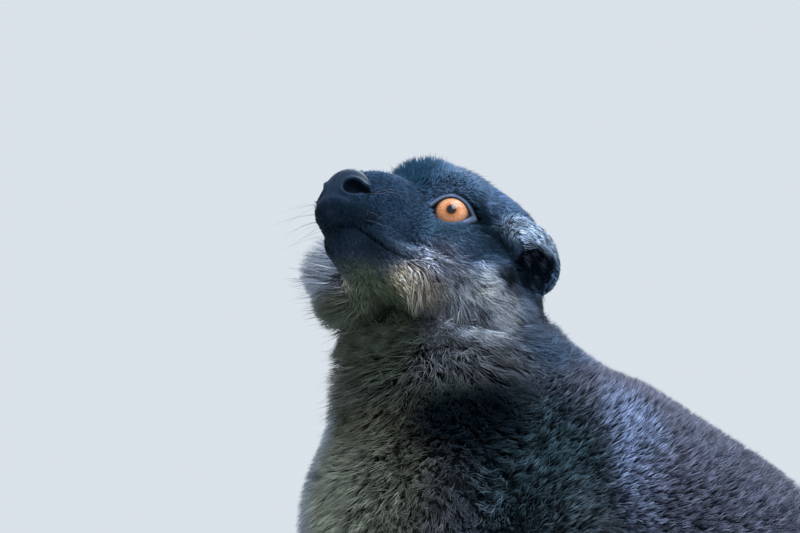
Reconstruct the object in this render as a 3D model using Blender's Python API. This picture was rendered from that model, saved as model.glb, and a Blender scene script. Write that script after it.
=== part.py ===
"""A seated brown lemur, life size, as a still museum model.

The animal sits on its haunches with its hands on the floor between its feet, looks up and to its
left, and lays its tail out behind. Metres, +Z up, nose towards -X, left side towards -Y. Every
surface stands at the tips of the coat. Swept limbs and ellipsoids are melted together into one
form, which is then parted into named pieces with thin cuts.
"""

import math

import bmesh
import bpy
import numpy as np
from mathutils import Matrix, Vector

# ---------------------------------------------------------------- driving sizes, in millimetres
MM = 0.001
GAP = 0.3  # between neighbouring pieces
EYE_HEIGHT = 320.0  # of the point midway between the eyes, above the floor
ORIGIN_X, ORIGIN_Y = 187.1, -71.95  # middle of the model's outline on the floor, from below the eyes
HEAD_YAW, HEAD_PITCH, HEAD_ROLL = 12.5, 25.0, -5.0  # degrees: to its left, nose up, left side down

EYE_PLACE, EYE_RADIUS = (-1.2, 15.4, -2.5), 8.3  # the left eye's
EYE_AIM, EYE_LIFT = 38.0, -10.0  # degrees that an eye looks outwards and up from straight ahead
EYE_SET = 4.6  # how far in front of an eye's middle its lids stand
EAR_PLACE, EAR_SIZE, EAR_WALL = (-27.0, 32.0, -8.0), (15.0, 12.0, 7.0), 2.2
EAR_LONG, EAR_OPEN = (-0.59, 0.29, -0.75), (0.64, 0.67, -0.25)  # down the ear, and out of its cup
NOSE_PLACE, NOSE_SIZE = (40.5, 0.0, -11.5), (5.5, 8.0, 6.5)
NOSTRIL_PLACE, NOSTRIL_SIZE = (45.0, 5.4, -12.0), (3.0, 2.0, 2.2)

VOXEL, FINE_VOXEL = 2.6, 1.5
BODY_TRIANGLES, HEAD_TRIANGLES, PAW_TRIANGLES = 2160, 1520, 500
CREASE, FLAT = 40.0, 1.5  # degrees: edges sharper than this stay sharp, and flatter than this go

# A limb is a row of stations: x, y, z, half its breadth and half its height there.
TRUNK = (
    (8, 0, 272, 44, 44), (19, 0, 247, 51, 53), (43, 0, 219, 61, 63), (82, 0, 196, 65, 68),
    (127, 0, 165, 70, 75), (168, 0, 121, 72, 74), (193, 0, 78, 67, 66), (201, 0, 44, 60, 58),
    (201, 0, 19, 50, 50),
)
TAIL = (
    (228, 0, 46, 28, 26), (273, 0, 26, 24, 23), (320, -8, 22, 24, 22), (365, -30, 21, 24, 22),
    (402, -70, 21, 24, 22), (420, -120, 20, 24, 22), (414, -172, 20, 23, 21),
    (385, -216, 19, 21, 20), (340, -240, 16, 17, 17), (304, -246, 11, 9, 10),
)
UPPER_ARM = ((14, 42, 196, 28, 38), (26, 45, 160, 23, 29), (45, 46, 118, 20, 22))
FOREARM = ((45, 46, 120, 20, 22), (28, 46, 80, 17, 18), (7, 44, 38, 12, 13), (0, 43, 18, 10, 11))
THIGH = ((200, 38, 74, 38, 46), (160, 58, 90, 37, 44), (112, 78, 106, 31, 35), (80, 90, 114, 25, 27))
SHIN = ((80, 90, 112, 23, 24), (116, 84, 76, 20, 22), (150, 74, 44, 16, 17), (168, 70, 24, 13, 15))
PALM = ((6, 43, 22, 10, 10), (-6, 43, 12, 13, 11), (-22, 43, 8, 16, 9), (-36, 43, 6, 14, 7))
SOLE = ((178, 69, 16, 13, 16), (160, 69, 14, 14, 15), (130, 71, 11, 15, 12), (104, 74, 8, 16, 9))
FINGER_ROOTS = ((-8, 34, 6), (-33, 34, 6), (-38, 41, 6), (-37, 47, 6), (-32, 53, 6))
FINGER_TIPS = ((-20, 14, 4), (-60, 27, 4), (-68, 39, 4), (-67, 52, 4), (-55, 64, 4))
TOE_ROOTS = ((140, 62, 7), (108, 65, 6), (102, 71, 6), (101, 78, 6), (104, 84, 6))
TOE_TIPS = ((110, 40, 5), (82, 60, 4), (72, 69, 4), (70, 81, 4), (77, 93, 4))
DIGIT, FINGERTIP = 4.8, 4.2  # half-breadths at root and tip
FACE = (
    (41, 0, -15, 9, 10.5), (33, 0, -14, 11, 14), (20, 0, -12.5, 14, 17), (8, 0, -10, 19, 20),
    (-4, 0, -8, 26, 26), (-17, 0, -6, 31, 31), (-30, 0, -6, 33, 32), (-41, 0, -7, 29, 29),
    (-49, 0, -9, 20, 20),
)
JAW = ((-18, 0, -26, 22, 12), (6, 0, -29, 15, 8), (24, 0, -30, 10.5, 6.5), (33, 0, -29.5, 8, 5.5))

# A ball is its middle and its three half-sizes. Balls off the middle plane stand on both sides.
BODY_BALLS = (((15, 0, 206), (57, 63, 60)), ((20, 38, 196), (38, 30, 44)))
HEAD_BALLS = (
    ((6, 0, 13), (9, 16, 9.5)), ((-10, 0, 12), (20, 22, 13.5)), ((36, 0, -20), (9.5, 10.5, 8.5)),
    ((-10, 24, -24), (22, 13, 17)), ((2, 25, -32), (15, 12.5, 15)), ((-12, 18, -42), (20, 16, 14)),
    ((-4, 0, -36), (24, 24, 14)),
)
FULL_RUFF = ((8, -30, -22), (14, 12, 13))  # the right cheek's ruff stands out further forward

# A cut is a point on its plane and the way that leads out of the piece. Those beside the middle
# plane are given for the left side, in the room.
WRIST, ANKLE, ELBOW = 24.0, 27.0, 117.0  # heights of level cuts
INSIDE_ARM, BEHIND_ARM = ((0, -22, 0), (0, 1, 0)), ((74, 0, 0), (1, 0, 0))
INSIDE_LEG, BEHIND_LEG = ((78, -62, 0), (-0.26, 0.965, 0)), ((216, 0, 0), (1, 0, 0))
ABOVE_ARM, ABOVE_THIGH = ((27, -48, 160), (-0.36, 0.08, 0.93)), ((78, 0, 150), (0.215, 0, 0.977))
ABOVE_SHIN, BEHIND_SHIN = ((78, 0, 112), (0.53, 0, 0.848)), ((178, 0, 40), (0.72, 0, 0.69))
INSIDE_SHIN, BELOW_THIGH = ((0, -53, 0), (0, 1, 0)), ((0, 0, 40), (0, 0, -1))
HAND_CELL = (((0, -8, 0), (0, 1, 0)), ((50, 0, 0), (1, 0, 0)), ((0, 0, WRIST), (0, 0, 1)))
FOOT_CELL = (
    ((100, -34, 0), (0.275, 0.961, 0)), ((194, 0, 0), (1, 0, 0)), ((56, 0, 0), (-1, 0, 0)),
    ((0, 0, ANKLE), (0, 0, 1)),
)
LEG_PARTS = (
    ("shin", (INSIDE_LEG, INSIDE_SHIN, BEHIND_SHIN, ABOVE_SHIN)),
    ("thigh", (INSIDE_LEG, BEHIND_LEG, ABOVE_THIGH, BELOW_THIGH)),
    ("forearm", (((0, -20, 0), (0, 1, 0)), ((71, 0, 0), (1, 0, 0)), ((0, 0, ELBOW), (0, 0, 1)))),
    ("upper_arm", (INSIDE_ARM, BEHIND_ARM, ABOVE_ARM)),
)
NECK_CUT, BACK_CUT = ((22, 0, 238), (0.5, 0, -0.866)), ((100, 0, 180), (0.72, 0, -0.69))
TAIL_CUTS = (
    ((258, 0, 0), (1, 0, 0)), ((342, -18, 0), (0.9, -0.44, 0)), ((411, -95, 0), (0.34, -0.94, 0)),
    ((385, -216, 0), (-0.736, -0.677, 0)),
)
HEAD_CUT = ((-32, 0, -34), (-0.62, 0, -0.78))  # measured in the head

Z, SPINE_UP = Vector((0, 0, 1)), Vector((1, 0, 1))
ORIGIN = Vector((ORIGIN_X, ORIGIN_Y, -EYE_HEIGHT))
SKULL = (
    Matrix.Rotation(math.radians(180 + HEAD_YAW), 3, "Z")
    @ Matrix.Rotation(math.radians(-HEAD_PITCH), 3, "Y")
    @ Matrix.Rotation(math.radians(-HEAD_ROLL), 3, "X")
)  # turns a direction ahead of, left of and above the head into the room


def room(point):
    """A point measured from below the eyes on the floor, in the model's frame and in metres."""
    return (Vector(point) - Vector((ORIGIN_X, ORIGIN_Y, 0))) * MM


def skull(point):
    """A point measured in the head from between the eyes, in the model's frame and in metres."""
    return (SKULL @ Vector(point) - ORIGIN) * MM


def other_side(numbers):
    """The same numbers with y turned over."""
    return (numbers[0], -numbers[1], *numbers[2:])


# ---------------------------------------------------------------- making shapes
def mesh_of(bm, name):
    mesh = bpy.data.meshes.new(name)
    bm.to_mesh(mesh)
    bm.free()
    return mesh


def ball(centre, radii, turn=None, grow=0.0, detail=4):
    """An ellipsoid about a centre in metres, its half-sizes in millimetres along the turned axes."""
    bm = bmesh.new()
    bmesh.ops.create_icosphere(bm, subdivisions=detail, radius=1.0)
    sizes = Matrix.Diagonal([(r + grow) * MM for r in radii]).to_4x4()
    place = Matrix.Translation(centre) @ (turn or Matrix.Identity(3)).to_4x4()
    bmesh.ops.transform(bm, matrix=place @ sizes, verts=bm.verts)
    return mesh_of(bm, "ball")


def along(stations, steps=4):
    """Catmull-Rom through the stations: rows of numbers, `steps` of them between each pair."""
    rows = np.array(stations, float)
    ends = np.vstack([2 * rows[0] - rows[1], rows, 2 * rows[-1] - rows[-2]])
    made = []
    for i in range(len(rows) - 1):
        a, b, c, d = ends[i : i + 4]
        for t in np.arange(steps) / steps:
            curve = (c - a) * t + (2 * a - 5 * b + 4 * c - d) * t**2 + (3 * b - a - 3 * c + d) * t**3
            made.append(b + curve / 2)
    return np.array([*made, rows[-1]])


def sweep(stations, place=room, up=Z, sides=20):
    """A closed limb through the stations, whose height lies nearest `up`, domed at both ends."""
    rows = along(stations)
    points = [place(row[:3]) for row in rows]
    ends = (1.25, 0.8, 0.4, 0.0)
    bm = bmesh.new()
    rings = []
    for i, (point, row) in enumerate(zip(points, rows)):
        ahead = (points[min(i + 1, len(points) - 1)] - points[max(i - 1, 0)]).normalized()
        side = up.cross(ahead).normalized() * row[3] * MM
        top = ahead.cross(side).normalized() * row[4] * MM
        dome = ahead * 0.5 * min(row[3:]) * MM
        turns = [0.0]
        if i == 0:
            turns = [-a for a in ends]
        elif i == len(points) - 1:
            turns = ends[::-1]
        for turn in turns:
            middle, size = point + dome * math.sin(turn), math.cos(turn)
            angles = [2 * math.pi * k / sides for k in range(sides)]
            corners = [middle + size * (side * math.cos(a) + top * math.sin(a)) for a in angles]
            rings.append([bm.verts.new(corner) for corner in corners])
    for a, b in zip(rings, rings[1:]):
        for k in range(sides):
            bm.faces.new((a[k], a[k - 1], b[k - 1], b[k]))
    bm.faces.new(rings[0])
    bm.faces.new(rings[-1][::-1])
    bmesh.ops.recalc_face_normals(bm, faces=bm.faces)
    return mesh_of(bm, "limb")


def digits(roots, tips):
    """Fingers or toes from root to tip, each bent a little upwards in its middle."""
    rows = []
    for root, tip in zip(roots, tips):
        middle = [(a + b) / 2 for a, b in zip(root, tip)]
        middle[2] += DIGIT / 2
        rows.append(((*root, DIGIT, DIGIT), (*middle, DIGIT, DIGIT), (*tip, FINGERTIP, FINGERTIP)))
    return rows


def cell(cuts, grow=0.0, reach=900.0):
    """The convex block that a row of cuts leaves of a large cube, every face moved out by `grow`."""
    bm = bmesh.new()
    bmesh.ops.create_cube(bm, size=2 * reach * MM)
    for point, outward in cuts:
        outward = Vector(outward).normalized()
        everything = bm.verts[:] + bm.edges[:] + bm.faces[:]
        bmesh.ops.bisect_plane(
            bm, geom=everything, dist=1e-7, plane_co=room(point) + outward * grow * MM,
            plane_no=outward, clear_outer=True,
        )
        bmesh.ops.holes_fill(bm, edges=[e for e in bm.edges if e.is_boundary], sides=0)
    bmesh.ops.recalc_face_normals(bm, faces=bm.faces)
    return mesh_of(bm, "cell")


# ---------------------------------------------------------------- melting, cutting and keeping
def shown(name, mesh):
    made = bpy.data.objects.new(name, mesh)
    bpy.context.scene.collection.objects.link(made)
    return made


def finished(obj):
    """Applies the object's modifiers."""
    graph = bpy.context.evaluated_depsgraph_get()
    obj.data = bpy.data.meshes.new_from_object(obj.evaluated_get(graph))
    obj.modifiers.clear()


def melted(name, shapes, voxel, rounds, triangles):
    """The shapes run together, smoothed, cut level with the floor and thinned."""
    bm = bmesh.new()
    for shape in shapes:
        bm.from_mesh(shape)
    obj = shown(name, mesh_of(bm, name))
    remesh = obj.modifiers.new("melt", "REMESH")
    remesh.mode = "VOXEL"
    remesh.voxel_size = voxel * MM
    relax = obj.modifiers.new("relax", "SMOOTH")
    relax.factor = 0.5
    relax.iterations = rounds
    finished(obj)
    faces = sum(len(p.vertices) - 2 for p in obj.data.polygons)
    thin = obj.modifiers.new("thin", "DECIMATE")
    thin.ratio = min(1.0, triangles / faces)
    finished(obj)
    bm = bmesh.new()
    bm.from_mesh(obj.data)
    everything = bm.verts[:] + bm.edges[:] + bm.faces[:]
    bmesh.ops.bisect_plane(bm, geom=everything, dist=1e-7, plane_co=(0, 0, 0), plane_no=-Z, clear_outer=True)
    bmesh.ops.holes_fill(bm, edges=[e for e in bm.edges if e.is_boundary], sides=0)
    bmesh.ops.triangulate(bm, faces=bm.faces[:])
    obj.data = mesh_of(bm, name)
    return obj


def carve(obj, mesh, operation="DIFFERENCE"):
    """Cuts the mesh out of the object, or keeps only what lies in it."""
    tool = shown("tool", mesh)
    cut = obj.modifiers.new("cut", "BOOLEAN")
    cut.object = tool
    cut.operation = operation
    cut.solver = "EXACT"
    finished(obj)
    bpy.data.objects.remove(tool)


def largest(obj):
    """Keeps only the largest connected body."""
    bm = bmesh.new()
    bm.from_mesh(obj.data)
    left, bodies = set(bm.faces), []
    while left:
        body, edge = set(), [left.pop()]
        while edge:
            face = edge.pop()
            body.add(face)
            for near in {f for e in face.edges for f in e.link_faces} & left:
                left.remove(near)
                edge.append(near)
        bodies.append(body)
    keep = max(bodies, key=lambda body: sum(face.calc_area() for face in body))
    bmesh.ops.delete(bm, geom=[f for f in bm.faces if f not in keep], context="FACES")
    bmesh.ops.dissolve_limit(bm, angle_limit=math.radians(FLAT), verts=bm.verts, edges=bm.edges)
    bmesh.ops.triangulate(bm, faces=bm.faces[:])
    obj.data = mesh_of(bm, obj.name)


def taken(body, name, cuts):
    """Parts a named piece from the body, which keeps a gap from it."""
    piece = shown(name, body.data.copy())
    carve(piece, cell(cuts), "INTERSECT")
    carve(body, cell(cuts, GAP))
    largest(piece)
    return piece


def turned_round(cut):
    """The same cut with its other side taken."""
    return cut[0], tuple(-n for n in cut[1])


def mirrored(cut):
    return other_side(cut[0]), other_side(cut[1])


def both_sides(rows):
    """The rows, given for the right side, and their mirror images."""
    return [*rows, *(tuple(other_side(station) for station in row) for row in rows)]


# ---------------------------------------------------------------- looks
def material(name, colour, roughness):
    made = bpy.data.materials.new(name)
    made.use_nodes = True
    shader = made.node_tree.nodes["Principled BSDF"]
    shader.inputs["Base Color"].default_value = (*colour, 1.0)
    shader.inputs["Roughness"].default_value = roughness
    return made


def dressed(obj, look):
    obj.data.materials.clear()
    obj.data.materials.append(look)
    obj.data.polygons.foreach_set("use_smooth", [True] * len(obj.data.polygons))
    obj.data.set_sharp_from_angle(angle=math.radians(CREASE))


# ---------------------------------------------------------------- building
def head_shapes():
    shapes = [sweep(FACE, skull), sweep(JAW, skull)]
    for centre, radii in HEAD_BALLS:
        for place in {centre, other_side(centre)}:
            shapes.append(ball(skull(place), radii, SKULL))
    shapes.append(ball(skull(FULL_RUFF[0]), FULL_RUFF[1], SKULL))
    return shapes


def ear_turn(side):
    """Axes of an ear: down its length, across its breadth, out of its cup."""
    long = Vector(EAR_LONG).normalized()
    out = (Vector(EAR_OPEN) - long * long.dot(Vector(EAR_OPEN))).normalized()
    axes = [Vector((v.x, side * v.y, v.z)) for v in (long, out.cross(long) * side, out)]
    return SKULL @ Matrix(axes).transposed()


def eye_turn(side):
    """Axes of an eye, the first along its gaze."""
    aim = Matrix.Rotation(math.radians(side * EYE_AIM), 3, "Z")
    return SKULL @ aim @ Matrix.Rotation(math.radians(-EYE_LIFT), 3, "Y")


def build_head(looks):
    """The head with its ears, eyes and nose set into it."""
    neck = [sweep(TRUNK[:4], up=SPINE_UP), ball(room(BODY_BALLS[0][0]), BODY_BALLS[0][1])]
    head = melted("head", [*head_shapes(), *neck], FINE_VOXEL, 9, HEAD_TRIANGLES)
    carve(head, cell([head_cut()]), "INTERSECT")
    for name, side in (("left", 1), ("right", -1)):
        aim = eye_turn(side)
        middle = skull(EYE_PLACE if side > 0 else other_side(EYE_PLACE))
        eye = shown(f"eye_{name}", ball(middle, [EYE_RADIUS] * 3, aim, detail=3))
        carve(head, ball(middle, [EYE_RADIUS] * 3, aim, GAP, detail=3))
        lids = middle + aim @ Vector((EYE_SET + EYE_RADIUS, 0, 0)) * MM
        carve(head, ball(lids, (EYE_RADIUS, EYE_RADIUS, EYE_RADIUS - 1), aim, detail=3))
        dressed(eye, looks["eye"])
        turn = ear_turn(side)
        place = skull((EAR_PLACE[0], side * EAR_PLACE[1], EAR_PLACE[2]))
        ear = shown(f"ear_{name}", ball(place, EAR_SIZE, turn, detail=3))
        carve(head, ball(place, EAR_SIZE, turn, GAP, detail=3))
        cup = place + turn @ Vector((1, -1, EAR_SIZE[2] * 0.55)) * MM
        carve(ear, ball(cup, [size - EAR_WALL for size in EAR_SIZE], turn, detail=2))
        largest(ear)
        dressed(ear, looks["dark_coat"])
    nose = shown("nose", ball(skull(NOSE_PLACE), NOSE_SIZE, SKULL, detail=2))
    carve(head, ball(skull(NOSE_PLACE), NOSE_SIZE, SKULL, GAP, detail=2))
    for side in (1, -1):
        nostril = skull((NOSTRIL_PLACE[0], side * NOSTRIL_PLACE[1], NOSTRIL_PLACE[2]))
        carve(nose, ball(nostril, NOSTRIL_SIZE, SKULL, detail=2))
    largest(nose)
    largest(head)
    dressed(nose, looks["bare_skin"])
    dressed(head, looks["dark_coat"])


def head_cut():
    """The cut under the head, from the nape to the throat, as it stands in the room."""
    point = SKULL @ Vector(HEAD_CUT[0]) + EYE_HEIGHT * Z
    return tuple(point), tuple(SKULL @ Vector(HEAD_CUT[1]))


def build_body(looks):
    """Neck, trunk, tail and the legs down to wrist and ankle."""
    limbs = both_sides([UPPER_ARM, FOREARM, THIGH, SHIN, PALM, SOLE])
    shapes = [sweep(TRUNK, up=SPINE_UP), sweep(TAIL), *(sweep(limb) for limb in limbs), *head_shapes()]
    for centre, radii in BODY_BALLS:
        for place in {centre, other_side(centre)}:
            shapes.append(ball(room(place), radii))
    body = melted("body", shapes, VOXEL, 14, BODY_TRIANGLES)
    carve(body, cell([head_cut()], GAP))
    for name, sided in (("left", tuple), ("right", mirrored)):
        for paw in (HAND_CELL, FOOT_CELL):
            carve(body, cell([sided(cut) for cut in paw], GAP))
        for part, cuts in LEG_PARTS:
            piece = taken(body, f"{part}_{name}", [sided(cut) for cut in cuts])
            dressed(piece, looks["coat"])
    for i, cut in enumerate(TAIL_CUTS[1:], 1):
        piece = taken(body, f"tail_{i}", [turned_round(TAIL_CUTS[0]), cut])
        dressed(piece, looks["tail_coat"])
    dressed(taken(body, "tail_4", [turned_round(TAIL_CUTS[0])]), looks["tail_coat"])
    dressed(taken(body, "neck", [NECK_CUT]), looks["coat"])
    dressed(taken(body, "chest", [BACK_CUT]), looks["coat"])
    body.name = "rump"
    largest(body)
    dressed(body, looks["coat"])


def build_paws(looks):
    """Hands and feet, each in one piece with its digits, flat on the floor."""
    for part, base, above, roots, tips, keep in (
        ("hand", PALM, FOREARM, FINGER_ROOTS, FINGER_TIPS, HAND_CELL),
        ("foot", SOLE, SHIN, TOE_ROOTS, TOE_TIPS, FOOT_CELL),
    ):
        for name, sided in (("left", True), ("right", False)):
            rows = [base, above, *digits(roots, tips)]
            if sided:
                rows = [tuple(other_side(station) for station in row) for row in rows]
            shapes = [sweep(row, sides=14) for row in rows]
            paw = melted(f"{part}_{name}", shapes, FINE_VOXEL, 3, PAW_TRIANGLES)
            cuts = keep if sided else [mirrored(cut) for cut in keep]
            carve(paw, cell(cuts), "INTERSECT")
            largest(paw)
            dressed(paw, looks["coat"])


def main():
    for old in list(bpy.data.objects):
        bpy.data.objects.remove(old)
    looks = {
        "coat": material("coat", (0.075, 0.092, 0.12), 0.9),
        "dark_coat": material("dark_coat", (0.025, 0.045, 0.075), 0.85),
        "tail_coat": material("tail_coat", (0.05, 0.065, 0.09), 0.9),
        "bare_skin": material("bare_skin", (0.012, 0.02, 0.035), 0.45),
        "eye": material("eye", (0.42, 0.16, 0.03), 0.08),
    }
    build_head(looks)
    build_body(looks)
    build_paws(looks)


main()
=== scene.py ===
"""The looks of a seated brown lemur: one skin with its folds and lids, eyes, nails, and a coat of tufts.

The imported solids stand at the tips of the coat. The skin lies inside them by the coat's depth, and
every tuft grows from it out to them. Arrays hold millimetres until a mesh is made.
"""

import math

import bpy
import numpy as np
from mathutils import Matrix, Vector


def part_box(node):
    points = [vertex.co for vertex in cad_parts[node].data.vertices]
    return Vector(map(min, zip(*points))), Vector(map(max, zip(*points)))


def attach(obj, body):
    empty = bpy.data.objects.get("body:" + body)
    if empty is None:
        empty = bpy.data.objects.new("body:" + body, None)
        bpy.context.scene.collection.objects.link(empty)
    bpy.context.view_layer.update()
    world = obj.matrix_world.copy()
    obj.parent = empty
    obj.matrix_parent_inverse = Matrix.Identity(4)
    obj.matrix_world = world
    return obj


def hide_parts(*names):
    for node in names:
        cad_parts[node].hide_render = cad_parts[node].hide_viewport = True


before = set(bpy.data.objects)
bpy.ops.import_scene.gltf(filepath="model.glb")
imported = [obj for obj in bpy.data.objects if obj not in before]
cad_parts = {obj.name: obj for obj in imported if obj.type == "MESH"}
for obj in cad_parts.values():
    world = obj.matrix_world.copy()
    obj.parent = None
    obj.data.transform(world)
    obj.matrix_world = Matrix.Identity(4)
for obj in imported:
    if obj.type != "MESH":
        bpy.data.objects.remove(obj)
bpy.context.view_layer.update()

# ------------------------------------------------------------------ the head's skin
# Skull, muzzle, jaws and ears under close-lying skin, with lids, lips, nostrils and their creases.
# It is the zero level of a distance field: balls and cones that run together, then carved.
MM = 0.001
HEAD_YAW, HEAD_PITCH, HEAD_ROLL = 12.5, 25.0, -5.0  # degrees: to its left, nose up, left side down
SKULL = np.array(
    Matrix.Rotation(math.radians(180 + HEAD_YAW), 3, "Z")
    @ Matrix.Rotation(math.radians(-HEAD_PITCH), 3, "Y")
    @ Matrix.Rotation(math.radians(-HEAD_ROLL), 3, "X")
)
EYE_BOXES = [np.array(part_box(f"eye_{side}")) / MM for side in ("left", "right")]
EYE_MIDDLE = np.array((-1.2, 15.4, -2.5))  # the left eye's
BETWEEN_EYES = np.mean(EYE_BOXES, axis=(0, 1)) - SKULL @ (EYE_MIDDLE * (1, 0, 1))

MASSES = (  # middle and half-sizes: ahead of, left of and above the point between the eyes
    ((-26, 0, 2), (28, 23, 20)), ((-40, 0, -4), (16, 19, 17)), ((-5, 0, 6), (15, 17, 12)),
    ((-6, 0, -9), (18, 18, 15)), ((30, 5, -20), (10, 7, 7)), ((38, 0, -19.8), (7.8, 9.3, 6.8)),
    ((-1, 14, 6), (10, 7.5, 6)), ((-6, 19, -11), (14, 7.5, 8)), ((-20, 19, -17), (15, 9.5, 14)),
    ((11, 0, -31), (22, 9, 5.5)), ((-20, 0, -28), (22, 18, 14)),
)
BONES = (  # two ends and their radii
    ((4, 0, -10), 14.5, (22, 0, -12.2), 12.6), ((22, 0, -12.2), 12.6, (36.5, 0, -13.5), 8.6),
    ((-14, 12, -25), 7.5, (8, 9, -30), 6.0), ((8, 9, -30), 6.2, (31, 3.5, -30.5), 5.2),
    ((-34, 0, -20), 25, (-50, 0, -62), 30),
)
BLEND = 6.5
EYEBALL, LID_BALL, PIT = 8.3, 9.3, 6.8
EYE_AIM, EYE_LIFT = math.radians(38), math.radians(-10)
FISSURE, UPPER_LID, LOWER_LID = 7.4, 4.9, 4.8
GAZE = np.array((math.cos(EYE_AIM), math.sin(EYE_AIM), math.tan(EYE_LIFT)))
GAZE /= np.linalg.norm(GAZE)
EYE_OUT = np.cross((0.03, 0, 1), GAZE)  # from the inner corner to the outer
EYE_OUT /= np.linalg.norm(EYE_OUT)
EYE_UP = np.cross(GAZE, EYE_OUT)
EAR_MIDDLE, EAR_SIZE = np.array((-27, 32, -8)), (14, 10, 6)
EAR_CUP = (4.2, -0.3, 3.2), (9.2, 7.9, 5.6)  # middle and half-sizes along the ear's axes
EAR_DOWN = np.array((-0.59, 0.29, -0.75)) / np.linalg.norm((-0.59, 0.29, -0.75))
EAR_OPEN = np.array((0.64, 0.67, -0.25)) - EAR_DOWN * (EAR_DOWN @ (0.64, 0.67, -0.25))
EAR_OPEN /= np.linalg.norm(EAR_OPEN)
EAR_AXES = np.array((EAR_DOWN, np.cross(EAR_OPEN, EAR_DOWN), EAR_OPEN))
NOSE = (39, 0, -13), (6.9, 9.4, 9.2)  # middle and half-sizes
NOSTRIL_HOLE, NOSTRIL_SLIT = ((42.6, 7.4, -14.9), (4.2, 3.2, 3.1)), ((38.9, 10.4, -14.6), (3.6, 2.6, 1.7))


def to_head(points):
    """Model millimetres to ahead, left and up from between the eyes."""
    return (points - BETWEEN_EYES) @ SKULL


def from_head(points):
    """Ahead, left and up from between the eyes to model millimetres."""
    return np.asarray(points) @ SKULL.T + BETWEEN_EYES


def ball(p, middle, sizes):
    """Nearly the distance from an ellipsoid: k (k - 1) / |p / sizes^2|, where k = |p / sizes|."""
    q = p - np.asarray(middle, p.dtype)
    sizes = np.asarray(sizes, p.dtype)
    k = np.sqrt(((q / sizes) ** 2).sum(-1))
    return k * (k - 1) / np.maximum(np.sqrt(((q / sizes**2) ** 2).sum(-1)), 1e-6)


def cone(p, a, ra, b, rb):
    """The distance from a line between two ends, less a radius that changes evenly along it."""
    a, along = np.asarray(a, p.dtype), np.asarray(b, p.dtype) - np.asarray(a, p.dtype)
    t = np.clip((p - a) @ along / (along @ along), 0, 1)
    return np.sqrt(((p - a - t[..., None] * along) ** 2).sum(-1)) - ra - (rb - ra) * t


def melt(a, b, reach):
    """The lesser of two fields, rounded where they are within `reach` of each other."""
    h = np.clip(0.5 + (b - a) / (2 * reach), 0, 1)
    return b + (a - b) * h - reach * h * (1 - h)


def ramp(x, start, end):
    """0 before start, 1 after end, and a smooth S between them."""
    t = np.clip((x - start) / (end - start), 0, 1)
    return t * t * (3 - 2 * t)


def crease(distance, width):
    """1 on a line and little past its width: exp(-(distance / width)^2)."""
    return np.exp(-((distance / width) ** 2))


def fold(p):
    """The left half of the head for both: |y|, rounded near the middle plane."""
    q = p.copy()
    q[..., 1] = np.sqrt(p[..., 1] ** 2 + 1.2**2)
    return q


def lids_gap(q):
    """Below 0 between the lids: the eye's own across, up and out, and how far from the lids' edges."""
    e = q - EYE_MIDDLE.astype(q.dtype)
    across, up, out = e @ EYE_OUT, e @ EYE_UP, e @ GAZE
    t = np.abs(across + 0.4) / FISSURE
    arch, steep = 1 - t**2.1, np.hypot(1, 1.4 * t**1.1)
    return e, out, np.maximum(up - UPPER_LID * arch, -up - LOWER_LID * arch) / steep, up


def mouth_height(x):
    """How high the mouth's line is: a parabola that is lowest 22 mm ahead of the eyes."""
    return -29.7 + 0.0105 * (x - 22) ** 2


def nostril(q):
    """Distance outside a round hole in front and the slit that runs back from it."""
    return np.minimum(ball(q, *NOSTRIL_HOLE), ball(q, *NOSTRIL_SLIT))


def head_field(p):
    """The distance outside the head's skin: masses and bones melted, lids and nose added, then the
    pit of the eye, the ears' cups, nostrils, mouth line, philtrum and lid creases taken off."""
    q = fold(p)
    skin = ball(q, *MASSES[0])
    for mass in MASSES[1:]:
        skin = melt(skin, ball(q, *mass), BLEND)
    for bone in BONES:
        skin = melt(skin, cone(q, *bone), BLEND)
    x, y, z = q[..., 0], p[..., 1], q[..., 2]
    # mouth line, corner folds and the hollow in front of the eye
    over_lip = z - mouth_height(x)
    skin = skin + (1.7 * crease(over_lip, 0.9) - 0.7 * crease(over_lip - 2.6, 1.6)) * ramp(x, 9, 13)
    skin = skin + 0.7 * crease(np.hypot(x - 9, (z + 27.5) * 0.8), 3.0)
    # lids over the eyeball
    e, out, gap, up = lids_gap(q)
    radius = np.sqrt((e**2).sum(-1))
    skin = melt(skin, radius - LID_BALL, 2.4)
    upper = 0.75 * crease(gap - 2.7, 0.9) * ramp(up, -1, 2)
    lower = 0.4 * crease(gap - 2.5, 0.9) * ramp(-up, 0, 3)
    skin = skin + (upper + lower) * ramp(out, 1, 4)
    sloping = gap * 0.8 - 0.35 * np.maximum(radius - EYEBALL, 0)
    skin = -melt(-skin, np.maximum.reduce([sloping, PIT - radius, -out, radius - 13]), 0.7)
    # nose leather, its wings and nostrils
    skin = melt(skin, ball(q, *NOSE), 1.4)
    skin = skin + 0.55 * crease(y, 0.55) * ramp(x, 38, 42) * ramp(z, -24, -20) * ramp(-z, 6, 10)
    hole = nostril(q)
    skin = skin - 0.8 * crease(hole - 1.0, 0.8)
    skin = -melt(-skin, hole, 0.5)
    # ears: a shell with its cup open to the front
    ear = (q - EAR_MIDDLE.astype(q.dtype)) @ EAR_AXES.T.astype(q.dtype)
    shell = ball(ear, (0, 0, 0), EAR_SIZE)
    skin = melt(skin, shell, 3.0)
    cup = ball(ear, *EAR_CUP)
    return -melt(-skin, cup, 1.0)


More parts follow.
